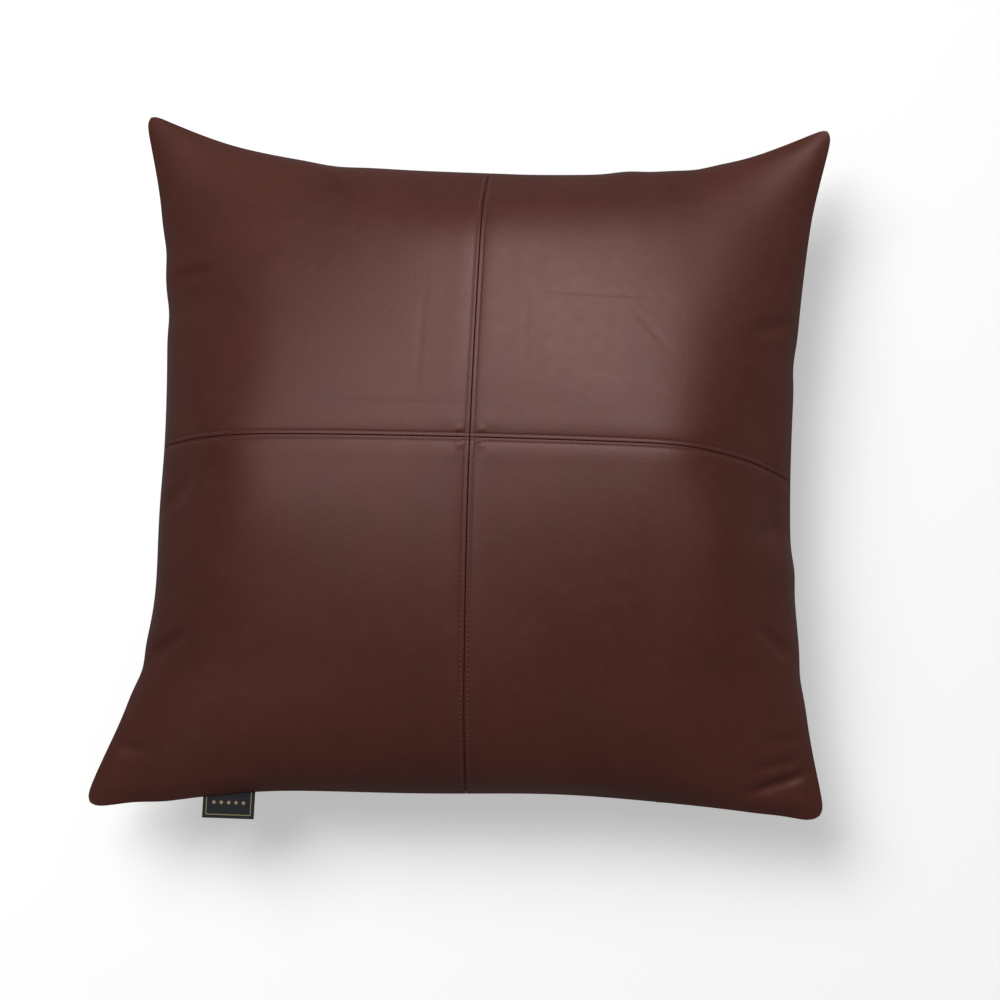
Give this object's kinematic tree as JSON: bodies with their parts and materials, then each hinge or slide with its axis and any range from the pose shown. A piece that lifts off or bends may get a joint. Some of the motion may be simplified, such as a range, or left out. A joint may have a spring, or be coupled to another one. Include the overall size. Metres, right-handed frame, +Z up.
{
  "type": "throw pillow",
  "caption": "Square throw pillow with a leather cover whose front is sewn from quarters, a zip in the bottom edge, a folded side label and a removable inner cushion.",
  "frame": {"origin": "middle of the flat patch of the back that the cushion rests on when it lies on its back", "axes": "+X across the cushion, +Y from the zipped bottom edge to the top edge, +Z up out of the quartered front"},
  "size_m": [0.44, 0.4495, 0.1164],
  "materials": {
    "leather": "smooth dark reddish-brown nappa, fine grain, soft sheen",
    "thread": "tone-on-tone polyester sewing thread",
    "label": "black woven ribbon with a plain gold border and bars",
    "zip_tape": "dark brown woven tape",
    "zip_coil": "dark brown nylon coil",
    "zip_metal": "antique brass",
    "insert_cotton": "plain unbleached cotton",
    "filling": "loose white filling"
  },
  "bodies": {
    "cushion": {"front_panel_top_left": "leather", "front_panel_top_right": "leather", "front_panel_bottom_left": "leather", "front_panel_bottom_right": "leather", "back_panel": "leather", "topstitch_vertical_left": "thread", "topstitch_vertical_right": "thread", "topstitch_horizontal_left_top": "thread", "topstitch_horizontal_left_bottom": "thread", "topstitch_horizontal_right_top": "thread", "topstitch_horizontal_right_bottom": "thread", "centre_seam_thread_vertical": "thread", "centre_seam_thread_left": "thread", "centre_seam_thread_right": "thread", "edge_seam_thread": "thread", "side_label": "label", "zip_tape_front": "zip_tape", "zip_tape_back": "zip_tape", "zip_coil_front": "zip_coil", "zip_coil_back": "zip_coil", "zip_top_stop_front": "zip_metal", "zip_top_stop_back": "zip_metal", "zip_bottom_stop": "zip_metal", "insert_shell_front": "insert_cotton", "insert_shell_back": "insert_cotton", "insert_thread": "insert_cotton", "insert_filling": "filling"},
    "slider": {"zip_slider": "zip_metal"},
    "pull": {"zip_pull": "zip_metal"}
  },
  "joints": [
    {"name": "zip_slide", "type": "slide", "parent": "cushion", "child": "slider", "axis": [-1, 0, 0], "range_m": [0, 0.294]},
    {"name": "pull_swing", "type": "hinge", "parent": "slider", "child": "pull", "pos_m": [0.147, -0.20975, 0.054], "axis": [0, 0, 1], "range_deg": [0, 150]}
  ]
}
